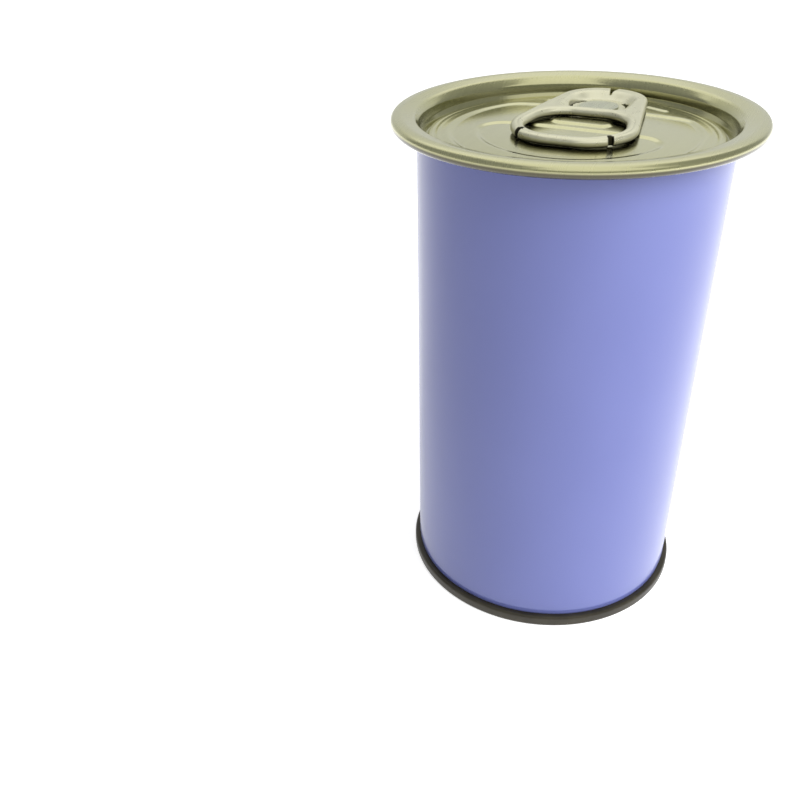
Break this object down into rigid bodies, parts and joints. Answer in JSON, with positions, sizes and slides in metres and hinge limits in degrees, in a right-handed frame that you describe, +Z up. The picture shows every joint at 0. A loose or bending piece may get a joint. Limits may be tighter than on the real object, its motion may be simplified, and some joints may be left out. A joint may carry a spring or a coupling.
{
  "type": "food can",
  "caption": "Round lavender enamelled food can with a gold easy-open end, ring-pull tab and plain seamed base, shut.",
  "frame": {"origin": "centre of the base seam's foot, which is the centre of the bottom of the box", "axes": "+Z up along the can's axis, +Y towards the nose of the pull tab, -Y towards its finger ring, +X to the right of a viewer who has the ring in front"},
  "size_m": [0.0612, 0.0612, 0.0918],
  "materials": {
    "enamel": "gloss lavender enamel on tinplate",
    "lid_lacquer": "satin gold lacquer over rolled tinplate",
    "tab_metal": "satin pale gold lacquered steel",
    "base_metal": "plain dull tinplate"
  },
  "bodies": {
    "root": {"can_body": "enamel", "lid": "lid_lacquer", "pull_tab": "tab_metal", "base_end": "base_metal"}
  },
  "joints": []
}
